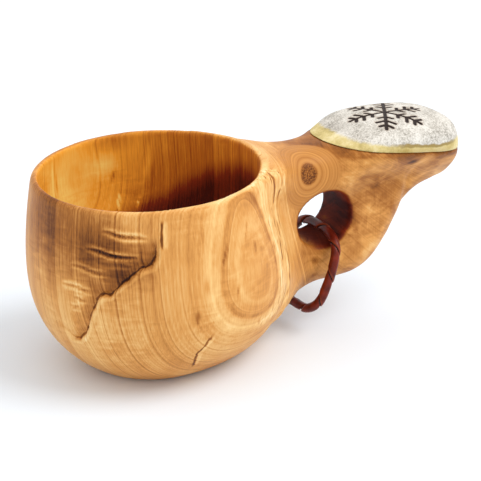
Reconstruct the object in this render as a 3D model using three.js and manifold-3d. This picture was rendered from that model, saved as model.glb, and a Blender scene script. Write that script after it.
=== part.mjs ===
// Kuksa: a drinking cup carved with its handle from one piece of birch burl. The handle has a
// finger hole, an antler thumb rest on top and a lace-wound leather loop through the hole.
// Millimetres, +Z up. The origin is the middle of the flat base; +X points along the handle.

import * as THREE from "three";
import { mergeVertices } from "three/addons/utils/BufferGeometryUtils.js";
import Module from "manifold-3d";

const wasm = await Module();
wasm.setup();

// ---------------------------------------------------------------- driving dimensions

const GAP = 0.3;                 // clearance between pieces that touch

// Bowl. Its outside is widest at the belly and narrows to the rim and to the base.
const RIM_HEIGHT = 77.7;         // rim above the base, at the middle of the bowl
const RIM_RISE = 0.04;           // the rim climbs this much per mm towards the handle
const RIM_TILT = 0.013;          // and this much per mm towards the far side
const BELLY_HEIGHT = 45;
const BELLY_RADIUS = 48;
const BASE_RADIUS = 24;
const BELLY_POWER = 2.4;         // roundness of the outside between base and belly
const RIM_RADIUS = 44.6;         // outside, just under the rim's rounding
const RIM_POWER = 1.7;           // how late the outside turns in above the belly
const RIM_ROUNDING = 1.8;
const BOWL_STRETCH = [            // height, and how much further it reaches towards the handle
  [0, 15], [5, 13], [12, 11.5], [25, 9.5], [45, 4.5], [62, 1], [77, 0],
];
const MOUTH_RADIUS = 42;         // inside, from the rim down to where the wall turns in
const HOLLOW_HEIGHT = 68;        // where it starts to turn in
const FLOOR_HEIGHT = 14;         // inside bottom above the base
const HOLLOW_POWER = 2.3;        // roundness of the inside
const LIP_BEVEL = 1.2;           // the mouth's inner edge opens by this much
const LIP_DEPTH = 0.8;           // over this much height
const ABOVE_RIM = 20;            // how far the hollow's cutter reaches past the rim

// Handle. It is drawn as its side view, with a half width for each place in that view.
const HANDLE_START = 34;         // inside the bowl's hollow, where it is cut away
const HANDLE_END = 138.6;
const SIDE_UNDER = [             // under edge: distance along the handle, height
  [34, 8], [46, 6.5], [54, 7.5], [59, 11], [64, 15], [71, 17.3], [80, 17.6], [90, 18.6],
  [98, 22.5], [105, 30], [110, 38], [114, 45.5], [120.5, 50.5], [129, 52.8], [135.4, 54.4],
  [138.6, 58],
];
const SIDE_TOP = [               // top edge, thumb rest included
  [34, 79], [46, 79], [56, 77.6], [66, 77.2], [74, 78], [81, 80.4], [89, 83.7], [97, 84.9],
  [112, 84.9], [125, 83.6], [132, 81.1], [136.4, 76.8], [138.6, 71],
];
const FIN_HALF_WIDTH = [         // between the keel and the waist
  [34, 12], [80, 12], [106, 10],
];
const SHOULDER_HALF_WIDTH = [    // at the shoulders, under the thumb
  [34, 30], [42, 25], [48, 20.5], [54, 17.2], [62, 15.4], [71, 15.8], [80, 18], [91, 20.8],
  [104, 21.6], [118, 21],
];
const END_CENTRE = 118;          // the end is round in plan about this point
const SHOULDER_DROP = [          // how far the shoulders lie below the top edge
  [34, 5], [46, 7], [60, 12], [72, 11.5], [86, 10], [112, 10.5], [138.6, 11],
];
const WAIST_DROP = 18;           // the waist lies this far below the shoulders
const TOP_POWER = 2.8;           // how square the top's edges are
const KEEL_ROUNDING = 12;
const NECK_REACH = 18;           // length of the hollow curve from the bowl to the handle
const NECK_INSET = 6;            // it starts this far inside the bowl's outline
const NECK_WIDENING = 10.5;      // half width that it adds there

// Finger hole, right through the handle along Y.
const HOLE_X = 71.3;
const HOLE_Z = 48;
const HOLE_HALF_LENGTH = 12.4;
const HOLE_HALF_HEIGHT = 12;
const HOLE_EDGE = 2.2;           // rounding where the hole meets the handle's sides
const HOLE_SIDE = 12;            // the handle's half width beside the hole
const HOLE_WIDENING = 0.5;       // of the cutter outside the handle, as a share of its radius

// Antler thumb rest: everything above a plane that slopes down to the handle's end.
const JOINT_START = [70, 78.4];  // distance along the handle, height
const JOINT_END = [138.6, 68.2];
const ABOVE_JOINT = { length: 120, width: 80, height: 60, before: 14 };
const PIN_RADIUS = 2.5;
const PIN_PLACES = { antler_pin_front: 94, antler_pin_rear: 120 };
const PIN_IN_WOOD = 9;
const PIN_IN_ANTLER = 4;

// Leather loop: a round thong closed into a ring, wound all along with a flat lace.
const LOOP_CENTRE = [70.2, 0, 24.6];
const LOOP_HALF_WIDTH = 18.3;    // of the thong's middle line
const LOOP_HALF_HEIGHT = 17;
const LOOP_SQUARENESS = 3;       // 2 is an ellipse
const LOOP_LEAN = 20;            // degrees, foot towards the bowl
const THONG_RADIUS = 1.2;
const LACE_INNER_RADIUS = THONG_RADIUS + GAP;
const LACE_OUTER_RADIUS = 2;
const LACE_LIFT = 0.2;           // the lace's trailing edge stands this much prouder
const LACE_TURNS = 10;
const LACE_COVER = 0.93;         // share of each turn that the lace covers

// How finely the round shapes are divided.
const BOWL_SIDES = 60;
const HOLLOW_SIDES = 48;
const HOLE_SIDES = 40;
const PIN_SIDES = 20;
const WALL_STEPS = 14;
const HOLLOW_STEPS = 12;
const HANDLE_STEPS = 24;
const END_STEPS = 8;
const SECTION_STEPS = 15;
const EDGE_ANGLES = [0, 30, 60, 90];
const THONG_STEPS = 72;
const THONG_SIDES = 10;
const LACE_STEPS_PER_TURN = 14;
const LACE_STEPS_ACROSS = 3;
const THINNEST = 0.05;           // half width where the handle's outline closes

// ---------------------------------------------------------------- curves and lofts

// Smooth height over a list of [place, value] pairs, level at neither end.
function smoothLine(pairs) {
  const slopes = pairs.map((pair, i) => {
    const before = pairs[Math.max(i - 1, 0)];
    const after = pairs[Math.min(i + 1, pairs.length - 1)];
    return (after[1] - before[1]) / (after[0] - before[0]);
  });
  return (place) => {
    const last = pairs.length - 2;
    const found = pairs.findIndex((pair) => pair[0] > place) - 1;
    const i = found < 0 ? (place < pairs[0][0] ? 0 : last) : Math.min(found, last);
    const [startPlace, startValue] = pairs[i];
    const [endPlace, endValue] = pairs[i + 1];
    const span = endPlace - startPlace;
    const t = THREE.MathUtils.clamp((place - startPlace) / span, 0, 1);
    const rise = (1 - t) * (1 - t);
    return startValue * (1 + 2 * t) * rise + slopes[i] * span * t * rise
      + endValue * t * t * (3 - 2 * t) + slopes[i + 1] * span * t * t * (t - 1);
  };
}

// A closed surface through rings of equally many points. The rings either close up on
// themselves, or each end is closed by a fan over its ring.
function loft(rings, closedUp = false) {
  const count = rings[0].length;
  const indices = [];
  const spans = closedUp ? rings.length : rings.length - 1;
  for (let i = 0; i < spans; i += 1) {
    const next = (i + 1) % rings.length;
    for (let j = 0; j < count; j += 1) {
      const a = i * count + j;
      const b = i * count + (j + 1) % count;
      const c = next * count + (j + 1) % count;
      const d = next * count + j;
      indices.push(a, c, b, a, d, c);
    }
  }
  const points = rings.flat();
  if (!closedUp) {
    const lastRing = (rings.length - 1) * count;
    for (let j = 1; j < count - 1; j += 1) {
      indices.push(0, j, j + 1);
      indices.push(lastRing, lastRing + j + 1, lastRing + j);
    }
  }
  const geometry = new THREE.BufferGeometry();
  geometry.setAttribute("position", new THREE.Float32BufferAttribute(points.flat(), 3));
  geometry.setIndex(indices);
  return geometry;
}

// ---------------------------------------------------------------- solids for joins and cuts

function toSolid(geometry) {
  const bare = geometry.clone();
  bare.deleteAttribute("normal");
  bare.deleteAttribute("uv");
  const merged = mergeVertices(bare, 1e-4);
  return new wasm.Manifold(new wasm.Mesh({
    numProp: 3,
    vertProperties: new Float32Array(merged.attributes.position.array),
    triVerts: new Uint32Array(merged.index.array),
  }));
}

function toGeometry(solid) {
  const mesh = solid.getMesh();
  const geometry = new THREE.BufferGeometry();
  geometry.setAttribute("position", new THREE.BufferAttribute(mesh.vertProperties, 3));
  geometry.setIndex(new THREE.BufferAttribute(mesh.triVerts, 1));
  geometry.computeVertexNormals();
  return geometry;
}

// A profile of [radius, height] pairs turned about the Z axis.
function turned(profile, segments) {
  const points = profile.map(([radius, height]) => new THREE.Vector2(radius, height));
  const geometry = new THREE.LatheGeometry(points, segments);
  return geometry.rotateX(Math.PI / 2);
}

// ---------------------------------------------------------------- cup body

function bowlRadius(height) {
  if (height < BELLY_HEIGHT) {
    const narrowing = 1 - (BASE_RADIUS / BELLY_RADIUS) ** 2;
    const below = (BELLY_HEIGHT - height) / BELLY_HEIGHT;
    return BELLY_RADIUS * Math.sqrt(1 - narrowing * below ** BELLY_POWER);
  }
  const above = (height - BELLY_HEIGHT) / (RIM_HEIGHT - BELLY_HEIGHT);
  return BELLY_RADIUS - (BELLY_RADIUS - RIM_RADIUS) * above ** RIM_POWER;
}

function hollowRadius(height) {
  const below = Math.max(HOLLOW_HEIGHT - height, 0) / (HOLLOW_HEIGHT - FLOOR_HEIGHT);
  return MOUTH_RADIUS * Math.sqrt(Math.max(1 - below ** HOLLOW_POWER, 0));
}

const bowlStretch = smoothLine(BOWL_STRETCH);

// Moves each point of a geometry to where a function sends it.
function reshape(geometry, move) {
  const position = geometry.attributes.position;
  for (let i = 0; i < position.count; i += 1) {
    position.setXYZ(i, ...move(position.getX(i), position.getY(i), position.getZ(i)));
  }
  return geometry;
}

// The rim climbs towards the handle and the far side, and less so further down.
function leanRim(x, y, z) {
  return [x, y, z + (RIM_RISE * x + RIM_TILT * y) * (z / RIM_HEIGHT) ** 2];
}

// The side towards the handle is drawn out.
function drawOut(x, y, z) {
  return [x > 0 ? x * (1 + bowlStretch(z) / bowlRadius(z)) : x, y, z];
}

function bowlOutside() {
  const profile = [[0, 0]];
  const wallTop = RIM_HEIGHT - RIM_ROUNDING;
  for (let i = 0; i <= WALL_STEPS; i += 1) {
    const height = wallTop * (1 - Math.cos((i / WALL_STEPS) * Math.PI / 2));
    profile.push([bowlRadius(height), height]);
  }
  const centre = bowlRadius(wallTop) - RIM_ROUNDING;
  for (const angle of EDGE_ANGLES.slice(1)) {
    const turn = THREE.MathUtils.degToRad(angle);
    profile.push([
      centre + RIM_ROUNDING * Math.cos(turn),
      wallTop + RIM_ROUNDING * Math.sin(turn),
    ]);
  }
  profile.push([0, RIM_HEIGHT]);
  return toSolid(reshape(reshape(turned(profile, BOWL_SIDES), drawOut), leanRim));
}

function bowlHollow() {
  const profile = [[0, FLOOR_HEIGHT]];
  const wallTop = RIM_HEIGHT - LIP_DEPTH;
  for (let i = 1; i <= HOLLOW_STEPS; i += 1) {
    const climb = 1 - Math.cos((i / HOLLOW_STEPS) * Math.PI / 2);
    const height = THREE.MathUtils.lerp(FLOOR_HEIGHT, wallTop, climb);
    profile.push([hollowRadius(height), height]);
  }
  profile.push([MOUTH_RADIUS + LIP_BEVEL, RIM_HEIGHT]);
  profile.push([MOUTH_RADIUS + LIP_BEVEL, RIM_HEIGHT + ABOVE_RIM]);
  profile.push([0, RIM_HEIGHT + ABOVE_RIM]);
  return toSolid(reshape(turned(profile, HOLLOW_SIDES), leanRim));
}

const underEdge = smoothLine(SIDE_UNDER);
const topEdge = smoothLine(SIDE_TOP);
const shoulderHalfWidth = smoothLine(SHOULDER_HALF_WIDTH);
const shoulderDrop = smoothLine(SHOULDER_DROP);
const finHalfWidth = smoothLine(FIN_HALF_WIDTH);

// Half width that the hollow curve beside the bowl adds to the handle.
function neckWidening(x, z) {
  const bowlReach = bowlRadius(Math.min(z, RIM_HEIGHT)) + bowlStretch(z);
  const past = (x - bowlReach + NECK_INSET) / NECK_REACH;
  return NECK_WIDENING * (1 - THREE.MathUtils.clamp(past, 0, 1)) ** 2;
}

// Half width of the handle at a place in its side view.
function handleHalfWidth(x, z) {
  const bottom = underEdge(x);
  const top = topEdge(x);
  const shoulder = top - shoulderDrop(x);
  const beyond = Math.max(x - END_CENTRE, 0) / (HANDLE_END - END_CENTRE);
  const plan = Math.sqrt(Math.max(1 - beyond * beyond, 0));
  const flare = THREE.MathUtils.smoothstep(z, shoulder - WAIST_DROP, shoulder);
  const waist = finHalfWidth(x) + neckWidening(x, z);
  const side = THREE.MathUtils.lerp(waist, shoulderHalfWidth(x), flare) * plan;
  const overShoulder = Math.max(z - shoulder, 0) / (top - shoulder);
  const roundedTop = Math.max(1 - overShoulder ** TOP_POWER, 0) ** (1 / TOP_POWER);
  const slope = underEdge(x + 0.5) - underEdge(x - 0.5);
  const inside = Math.max(z - bottom, 0) / Math.hypot(1, slope);
  const under = Math.max(1 - inside / KEEL_ROUNDING, 0);
  const roundedKeel = Math.sqrt(Math.max(1 - under * under, 0));
  return side * roundedTop * roundedKeel;
}

function handleSection(x) {
  const bottom = underEdge(x);
  const top = topEdge(x);
  const near = [];
  const far = [];
  for (let i = 1; i < SECTION_STEPS; i += 1) {
    const z = bottom + (top - bottom) * (1 - Math.cos((i / SECTION_STEPS) * Math.PI)) / 2;
    const halfWidth = Math.max(handleHalfWidth(x, z), THINNEST);
    near.push([x, -halfWidth, z]);
    far.unshift([x, halfWidth, z]);
  }
  return [[x, 0, bottom], ...near, [x, 0, top], ...far];
}

function handleEnvelope() {
  const rings = [];
  for (let i = 0; i <= HANDLE_STEPS; i += 1) {
    rings.push(handleSection(THREE.MathUtils.lerp(HANDLE_START, END_CENTRE, i / HANDLE_STEPS)));
  }
  for (let i = 1; i <= END_STEPS; i += 1) {
    const turn = (i / END_STEPS) * Math.PI / 2;
    const reach = (HANDLE_END - END_CENTRE) * Math.sin(turn);
    rings.push(handleSection(Math.min(END_CENTRE + reach, HANDLE_END - THINNEST)));
  }
  return toSolid(loft(rings));
}

// The hole's cutter: a spool along Y that widens where it leaves the handle. It is drawn for a
// hole of radius 1 and then scaled to the hole's own length and height.
function fingerHole() {
  const wide = 1 + HOLE_WIDENING;
  const outer = 2 * HOLE_SIDE;
  const flare = EDGE_ANGLES.map((angle) => {
    const turn = THREE.MathUtils.degToRad(angle);
    const widening = HOLE_EDGE * (1 - Math.cos(turn)) / HOLE_HALF_HEIGHT;
    return [1 + widening, HOLE_SIDE - HOLE_EDGE + HOLE_EDGE * Math.sin(turn)];
  });
  const lower = flare.map(([radius, place]) => [radius, -place]).reverse();
  const profile = [[0, -outer], [wide, -outer], ...lower, ...flare, [wide, outer], [0, outer]];
  const geometry = turned(profile, HOLE_SIDES).rotateX(-Math.PI / 2);
  geometry.scale(HOLE_HALF_LENGTH, 1, HOLE_HALF_HEIGHT);
  geometry.translate(HOLE_X, 0, HOLE_Z);
  return toSolid(geometry);
}

// ---------------------------------------------------------------- thumb rest and its pins

// Everything above the glue joint, lifted by a given amount.
function aboveJoint(lift) {
  const run = JOINT_END[0] - JOINT_START[0];
  const angle = Math.atan2(JOINT_END[1] - JOINT_START[1], run);
  const { length, width, height, before } = ABOVE_JOINT;
  const block = new THREE.BoxGeometry(length, width, height);
  block.translate(length / 2 - before, 0, height / 2);
  block.rotateY(-angle);
  block.translate(JOINT_START[0], 0, JOINT_START[1] + lift);
  return toSolid(block);
}

function jointHeight(x) {
  const share = (x - JOINT_START[0]) / (JOINT_END[0] - JOINT_START[0]);
  return THREE.MathUtils.lerp(JOINT_START[1], JOINT_END[1], share);
}

function pinGeometry(x, extra) {
  const length = PIN_IN_WOOD + PIN_IN_ANTLER + 2 * extra;
  const pin = new THREE.CylinderGeometry(PIN_RADIUS + extra, PIN_RADIUS + extra, length, PIN_SIDES);
  pin.rotateX(Math.PI / 2);
  pin.translate(x, 0, jointHeight(x) + (PIN_IN_ANTLER - PIN_IN_WOOD) / 2);
  return pin;
}

// ---------------------------------------------------------------- leather loop

// A place on the loop: the middle line, its outward direction and the loop's own axis.
function loopFrame(turn) {
  const middleLine = (angle) => {
    const across = Math.abs(Math.cos(angle)) ** LOOP_SQUARENESS;
    const up = Math.abs(Math.sin(angle)) ** LOOP_SQUARENESS;
    const reach = (across + up) ** (-1 / LOOP_SQUARENESS);
    const y = LOOP_HALF_WIDTH * reach * Math.cos(angle);
    const z = LOOP_HALF_HEIGHT * reach * Math.sin(angle);
    return new THREE.Vector3(0, y, z);
  };
  const step = 1e-3;
  const along = middleLine(turn + step).sub(middleLine(turn - step)).normalize();
  const axis = new THREE.Vector3(1, 0, 0);
  const outward = new THREE.Vector3().crossVectors(along, axis);
  const sideways = new THREE.Vector3(0, 1, 0);
  const lean = THREE.MathUtils.degToRad(LOOP_LEAN);
  const centre = new THREE.Vector3(...LOOP_CENTRE);
  return {
    middle: middleLine(turn).applyAxisAngle(sideways, lean).add(centre),
    outward: outward.applyAxisAngle(sideways, lean),
    axis: axis.applyAxisAngle(sideways, lean),
  };
}

function onLoop(turn, angle, radius) {
  const { middle, outward, axis } = loopFrame(turn);
  return middle.clone()
    .addScaledVector(outward, radius * Math.cos(angle))
    .addScaledVector(axis, radius * Math.sin(angle))
    .toArray();
}

function loopCore() {
  const rings = [];
  for (let i = 0; i < THONG_STEPS; i += 1) {
    const turn = (i / THONG_STEPS) * 2 * Math.PI;
    const ring = [];
    for (let j = 0; j < THONG_SIDES; j += 1) {
      ring.push(onLoop(turn, (j / THONG_SIDES) * 2 * Math.PI, THONG_RADIUS));
    }
    rings.push(ring);
  }
  return loft(rings, true);
}

// The lace winds round the thong. Its section spans one turn's length along the loop, and its
// trailing edge stands proud of the next turn's leading edge.
function loopWrap() {
  const pitch = 2 * Math.PI / LACE_TURNS;
  const rings = [];
  for (let i = 0; i < LACE_TURNS * LACE_STEPS_PER_TURN; i += 1) {
    const winding = i / LACE_STEPS_PER_TURN;
    const angle = winding * 2 * Math.PI;
    const outer = [];
    const inner = [];
    for (let j = 0; j <= LACE_STEPS_ACROSS; j += 1) {
      const share = j / LACE_STEPS_ACROSS;
      const turn = (winding + share * LACE_COVER) * pitch;
      outer.unshift(onLoop(turn, angle, LACE_OUTER_RADIUS - LACE_LIFT * (1 - share)));
      inner.push(onLoop(turn, angle, LACE_INNER_RADIUS));
    }
    rings.push([...outer, ...inner]);
  }
  return loft(rings, true);
}

// ---------------------------------------------------------------- the pieces

function material(color, roughness) {
  return new THREE.MeshStandardMaterial({ color, roughness, metalness: 0 });
}

function piece(name, geometry, finish) {
  const mesh = new THREE.Mesh(geometry, finish);
  mesh.name = name;
  return mesh;
}

const birch = material(0xd39a5a, 0.45);
const antler = material(0xe6e0cf, 0.5);
const dowel = material(0xc9a878, 0.6);
const leather = material(0x4a1710, 0.35);

const handle = handleEnvelope();
const cupSolid = bowlOutside().add(handle)
  .subtract(bowlHollow())
  .subtract(fingerHole())
  .subtract(aboveJoint(0));
const capSolid = handle.intersect(aboveJoint(GAP));

const pinHoles = Object.values(PIN_PLACES).map((x) => toSolid(pinGeometry(x, GAP)));
const drill = (solid) => pinHoles.reduce((rest, pinHole) => rest.subtract(pinHole), solid);

const group = new THREE.Group();
group.add(piece("cup_body", toGeometry(drill(cupSolid)), birch));
group.add(piece("antler_cap", toGeometry(drill(capSolid)), antler));
for (const [name, x] of Object.entries(PIN_PLACES)) {
  group.add(piece(name, pinGeometry(x, 0), dowel));
}
group.add(piece("loop_core", loopCore(), leather));
group.add(piece("loop_wrap", loopWrap(), leather));

export default group;
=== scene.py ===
"""Looks for a kuksa: a burl cup with a carved handle, an antler thumb rest and a leather loop.

Shapes are worked out in millimetres in the cup's own frame (origin in the middle of the base,
+X along the handle, +Z up) and turned into metres when a mesh is made.
"""

import math

import bpy
import numpy as np
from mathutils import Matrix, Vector


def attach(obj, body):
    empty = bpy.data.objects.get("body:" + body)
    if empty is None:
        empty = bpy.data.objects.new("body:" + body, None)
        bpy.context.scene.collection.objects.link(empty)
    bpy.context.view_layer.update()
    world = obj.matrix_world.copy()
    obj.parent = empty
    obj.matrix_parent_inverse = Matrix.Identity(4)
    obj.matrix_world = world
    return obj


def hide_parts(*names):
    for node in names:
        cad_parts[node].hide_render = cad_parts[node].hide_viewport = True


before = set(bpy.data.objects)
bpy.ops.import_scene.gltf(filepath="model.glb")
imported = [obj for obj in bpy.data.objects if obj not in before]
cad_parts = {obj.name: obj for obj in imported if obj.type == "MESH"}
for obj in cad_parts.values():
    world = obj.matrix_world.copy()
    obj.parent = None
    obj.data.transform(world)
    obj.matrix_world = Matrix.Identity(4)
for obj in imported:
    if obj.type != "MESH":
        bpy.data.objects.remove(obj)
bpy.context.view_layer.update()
MM = 0.001

# ---------------------------------------------------------------- driving dimensions, mm

GAP = 0.3                        # between the thong and its lace

RIM_HEIGHT = 77.7                # over the bowl's middle
RIM_RISE = 0.04                  # rise of the rim per mm towards the handle
RIM_TILT = 0.013                 # and per mm towards the far side, +Y
BELLY_HEIGHT = 45
BELLY_RADIUS = 48
BASE_RADIUS = 24
BELLY_POWER = 2.4
RIM_RADIUS = 44.6
RIM_POWER = 1.7
BOWL_STRETCH = [                 # height, how far the bowl is drawn out towards the handle
    (0, 15), (5, 13), (12, 11.5), (25, 9.5), (45, 4.5), (62, 1), (77, 0),
]
MOUTH_RADIUS = 42
HOLLOW_HEIGHT = 68               # the hollow's wall is straight above this
FLOOR_HEIGHT = 14
HOLLOW_POWER = 2.3

HANDLE_START = 34
HANDLE_END = 138.6
SIDE_UNDER = [                   # X and height of the handle's underside
    (34, 8), (46, 6.5), (54, 7.5), (59, 11), (64, 15), (71, 17.3), (80, 17.6), (90, 18.6),
    (98, 22.5), (105, 30), (110, 38), (114, 45.5), (120.5, 50.5), (129, 52.8), (135.4, 54.4),
    (138.6, 58),
]
SIDE_TOP = [                     # X and height of the handle's top, antler included
    (34, 79), (46, 79), (56, 77.6), (66, 77.2), (74, 78), (81, 80.4), (89, 83.7), (97, 84.9),
    (112, 84.9), (125, 83.6), (132, 81.1), (136.4, 76.8), (138.6, 71),
]
FIN_HALF_WIDTH = [(34, 12), (80, 12), (106, 10)]    # X, half width of the handle's lower part
SHOULDER_HALF_WIDTH = [          # X, half width where the handle is widest
    (34, 30), (42, 25), (48, 20.5), (54, 17.2), (62, 15.4), (71, 15.8), (80, 18), (91, 20.8),
    (104, 21.6), (118, 21),
]
END_CENTRE = 118
SHOULDER_DROP = [                # X, how far its widest place lies below its top
    (34, 5), (46, 7), (60, 12), (72, 11.5), (86, 10), (112, 10.5), (138.6, 11),
]
WAIST_DROP = 18                  # how far below its widest place it is down to the lower part's width
TOP_POWER = 2.8
KEEL_ROUNDING = 12
NECK_REACH = 18
NECK_INSET = 6
NECK_WIDENING = 10.5

HOLE_X = 71.3
HOLE_Z = 48
HOLE_HALF_LENGTH = 12.4
HOLE_HALF_HEIGHT = 12
HOLE_SIDE = 16                   # the hole's wall ends before this Y on both sides

JOINT_START = (70, 78.4)
JOINT_END = (138.6, 68.2)
JOINT_SLOPE = (JOINT_END[1] - JOINT_START[1]) / (JOINT_END[0] - JOINT_START[0])

LOOP_CENTRE = (70.2, 0, 24.6)
LOOP_HALF_WIDTH = 18.3
LOOP_HALF_HEIGHT = 17
LOOP_SQUARENESS = 3
LOOP_LEAN = 20
THONG_RADIUS = 1.2
LACE_INNER_RADIUS = THONG_RADIUS + GAP
LACE_HIGH_RADIUS = 2.1           # along the lace's high edge
LACE_LIFT = 0.35                 # how much lower its other edge lies
LACE_SOFT_EDGE = 0.16            # share of its width over which an edge is rounded
LACE_EDGE_THICKNESS = 0.25       # at the very edge, as a share of the full thickness
LACE_TURNS = 10
LACE_COVER = 0.93                # share of a turn's length that the lace is wide

# ---------------------------------------------------------------- camera

CAMERA_AZIMUTH = -28             # degrees from straight in front, below 0 towards the bowl's end
CAMERA_ELEVATION = 21.94
CAMERA_DISTANCE = 600
CAMERA_TARGET = (39.4, 0, 40.5)
FOCAL_LENGTH = 112.3
SENSOR_WIDTH = 36
NEAREST_VIEW = 10


def add_camera():
    azimuth = math.radians(CAMERA_AZIMUTH)
    elevation = math.radians(CAMERA_ELEVATION)
    away = Vector((
        math.sin(azimuth) * math.cos(elevation),
        -math.cos(azimuth) * math.cos(elevation),
        math.sin(elevation),
    ))
    data = bpy.data.cameras.new("camera")
    data.lens = FOCAL_LENGTH
    data.sensor_width = SENSOR_WIDTH
    data.clip_start = NEAREST_VIEW * MM
    camera = bpy.data.objects.new("camera", data)
    camera.location = (Vector(CAMERA_TARGET) + away * CAMERA_DISTANCE) * MM
    camera.rotation_euler = (-away).to_track_quat("-Z", "Y").to_euler()
    bpy.context.scene.collection.objects.link(camera)
    bpy.context.scene.camera = camera


# ---------------------------------------------------------------- meshes


def make_piece(name, points, faces, fields=None):
    """A smooth-shaded mesh object from points in mm, with its named numbers per point."""
    mesh = bpy.data.meshes.new(name)
    mesh.from_pydata((np.asarray(points) * MM).tolist(), [], np.asarray(faces).tolist())
    mesh.update()
    mesh.polygons.foreach_set("use_smooth", np.ones(len(mesh.polygons), bool))
    for field, values in (fields or {}).items():
        attribute = mesh.attributes.new(field, "FLOAT", "POINT")
        attribute.data.foreach_set("value", np.asarray(values, np.float32))
    piece = bpy.data.objects.new(name, mesh)
    bpy.context.scene.collection.objects.link(piece)
    return piece


def closed_tube_faces(rings, sides):
    """Quads of a tube whose last ring meets its first, with its faces pointing out."""
    i, j = np.meshgrid(np.arange(rings), np.arange(sides), indexing="ij")
    next_i, next_j = (i + 1) % rings, (j + 1) % sides
    corners = [i * sides + j, next_i * sides + j, next_i * sides + next_j, i * sides + next_j]
    return np.stack(corners, -1).reshape(-1, 4)


# ---------------------------------------------------------------- leather loop


def loop_frame(turn):
    """The loop's middle line, its outward direction and its own axis at some turns, in rad."""
    def flat_line(angle):
        """A squarish oval in the plane X = 0, before it leans."""
        across = np.abs(np.cos(angle)) ** LOOP_SQUARENESS
        up = np.abs(np.sin(angle)) ** LOOP_SQUARENESS
        reach = (across + up) ** (-1 / LOOP_SQUARENESS)
        y = LOOP_HALF_WIDTH * reach * np.cos(angle)
        z = LOOP_HALF_HEIGHT * reach * np.sin(angle)
        return np.stack([np.zeros_like(y), y, z], -1)

    step = 1e-3
    along = flat_line(turn + step) - flat_line(turn - step)
    along /= np.linalg.norm(along, axis=-1, keepdims=True)
    axis = np.broadcast_to(np.array([1.0, 0, 0]), along.shape)
    outward = np.cross(along, axis)
    lean = math.radians(LOOP_LEAN)
    spin = np.array([
        [math.cos(lean), 0, math.sin(lean)],
        [0, 1, 0],
        [-math.sin(lean), 0, math.cos(lean)],
    ])
    return flat_line(turn) @ spin.T + LOOP_CENTRE, outward @ spin.T, axis @ spin.T


def on_loop(turn, angle, radius):
    """Points at an angle and a radius round the loop's middle line."""
    middle, outward, axis = loop_frame(turn)
    return (
        middle
        + outward * (radius * np.cos(angle))[..., None]
        + axis * (radius * np.sin(angle))[..., None]
    )


def loop_thong():
    """The round leather thong, closed into a ring."""
    steps, sides = 288, 20
    turn, angle = np.meshgrid(
        np.arange(steps) / steps * 2 * np.pi, np.arange(sides) / sides * 2 * np.pi, indexing="ij"
    )
    points = on_loop(turn, angle, np.full_like(turn, THONG_RADIUS))
    return make_piece("leather_thong", points.reshape(-1, 3), closed_tube_faces(steps, sides))


def loop_lace():
    """The flat lace, wound round the thong so that each turn laps the next like a shingle."""
    steps_per_turn, across = 40, 12
    share = (1 - np.cos(np.linspace(0, np.pi, across))) / 2
    past_edge = np.clip((np.abs(2 * share - 1) - 1 + LACE_SOFT_EDGE) / LACE_SOFT_EDGE, 0, 1)
    rounding = LACE_EDGE_THICKNESS + (1 - LACE_EDGE_THICKNESS) * np.sqrt(1 - past_edge**2)
    crown = LACE_HIGH_RADIUS - LACE_LIFT * (1 - share) ** 0.8
    outer = LACE_INNER_RADIUS + (crown - LACE_INNER_RADIUS) * rounding
    share = np.concatenate([share[::-1], share])
    radius = np.concatenate([outer[::-1], np.full(across, LACE_INNER_RADIUS)])
    winding = np.arange(LACE_TURNS * steps_per_turn) / steps_per_turn
    turn = (winding[:, None] + share[None, :] * LACE_COVER) * 2 * np.pi / LACE_TURNS
    angle = np.broadcast_to(winding[:, None] * 2 * np.pi, turn.shape)
    points = on_loop(turn, angle, np.broadcast_to(radius[None, :], turn.shape))
    faces = closed_tube_faces(len(winding), 2 * across)
    fields = {"lace_share": np.broadcast_to(share[None, :], turn.shape).ravel()}
    return make_piece("leather_lace", points.reshape(-1, 3), faces, fields)


# ---------------------------------------------------------------- solids as fields
# A field is below 0 inside its solid, 0 on its surface and above 0 outside.


def smooth_line(pairs):
    """Smooth value over a list of (place, value) pairs, kept level past its ends."""
    places, values = np.array(pairs, float).T
    before = np.maximum(np.arange(len(places)) - 1, 0)
    after = np.minimum(np.arange(len(places)) + 1, len(places) - 1)
    slopes = (values[after] - values[before]) / (places[after] - places[before])

    def line(place):
        i = np.clip(np.searchsorted(places, place, side="right") - 1, 0, len(places) - 2)
        span = places[i + 1] - places[i]
        t = np.clip((place - places[i]) / span, 0, 1)
        rise = (1 - t) ** 2
        return (
            values[i] * (1 + 2 * t) * rise + slopes[i] * span * t * rise
            + values[i + 1] * t * t * (3 - 2 * t) + slopes[i + 1] * span * t * t * (t - 1)
        )

    return line


bowl_stretch = smooth_line(BOWL_STRETCH)
under_edge = smooth_line(SIDE_UNDER)
top_edge = smooth_line(SIDE_TOP)
shoulder_half_width = smooth_line(SHOULDER_HALF_WIDTH)
shoulder_drop = smooth_line(SHOULDER_DROP)
fin_half_width = smooth_line(FIN_HALF_WIDTH)


def smooth_step(value, low, high):
    """0 below low, 1 above high and smooth between."""
    t = np.clip((value - low) / (high - low), 0, 1)
    return t * t * (3 - 2 * t)


def blend(a, b, share):
    """Goes from a to b as the share goes from 0 to 1."""
    return a + (b - a) * share


def patch(a, b, centre, reach):
    """1 at the centre of an oval patch, falling smoothly to 0 at its reach along a and b."""
    away = np.hypot((a - centre[0]) / reach[0], (b - centre[1]) / reach[1])
    return 1 - smooth_step(away, 0, 1)


def patches(a, b, spots):
    """Sum of oval patches, each given as its tone, its centre and its reach along a and b."""
    return sum(
        tone * patch(a, b, (at_a, at_b), (reach_a, reach_b))
        for tone, at_a, at_b, reach_a, reach_b in spots
    )


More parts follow.
